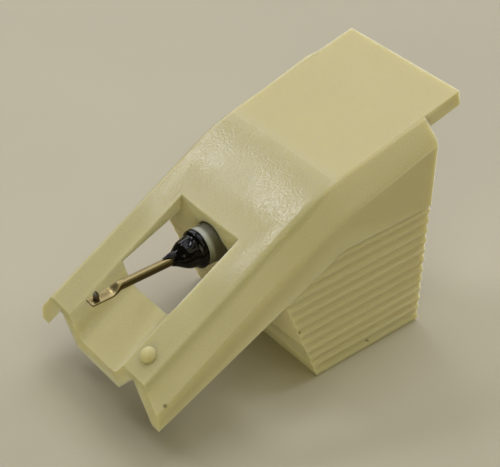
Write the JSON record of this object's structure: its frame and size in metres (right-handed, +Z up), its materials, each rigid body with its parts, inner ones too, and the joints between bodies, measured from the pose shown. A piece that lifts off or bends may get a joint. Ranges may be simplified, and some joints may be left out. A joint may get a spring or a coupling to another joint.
{
  "type": "turntable stylus",
  "caption": "Replaceable record player stylus: forked cream plastic housing with a ribbed finger grip, a plug sleeve, and a sprung cantilever with a diamond tip.",
  "frame": {"origin": "centre of the flat end of the finger grip, on which the part stands", "axes": "+X towards the rear tab, along the cantilever's axis; +Y across the housing; +Z up"},
  "size_m": [0.0196, 0.01, 0.013],
  "materials": {
    "cream_plastic": "semi-gloss, slightly translucent, fine moulded texture",
    "sleeve_metal": "satin grey",
    "black_rubber": "glossy black",
    "cantilever_metal": "bronze coloured, drawn",
    "shank_metal": "dark, ground",
    "diamond": "polished, dark",
    "collar_brass": "turned",
    "magnet_grey": "sintered",
    "wire_steel": "drawn"
  },
  "bodies": {
    "housing_body": {"housing": "cream_plastic", "plug_sleeve": "sleeve_metal", "tie_wire": "wire_steel", "wire_anchor": "collar_brass"},
    "damper_body": {"damper": "black_rubber"},
    "cantilever_body": {"cantilever": "cantilever_metal", "tip_shank": "shank_metal", "diamond_tip": "diamond", "magnet_bush": "collar_brass", "magnet": "magnet_grey"}
  },
  "joints": [
    {"name": "lateral_sway", "type": "hinge", "parent": "housing_body", "child": "damper_body", "pos_m": [-0.0067, 0, 0.00715], "axis": [0, 0, 1], "range_deg": [-4, 4], "stiffness_Nm_per_rad": 0.0035, "deforming": ["damper", "tie_wire"]},
    {"name": "vertical_sway", "type": "hinge", "parent": "damper_body", "child": "cantilever_body", "pos_m": [-0.0067, 0, 0.00715], "axis": [0, 1, 0], "range_deg": [-5, 3], "stiffness_Nm_per_rad": 0.0035, "deforming": ["damper", "tie_wire"]}
  ]
}
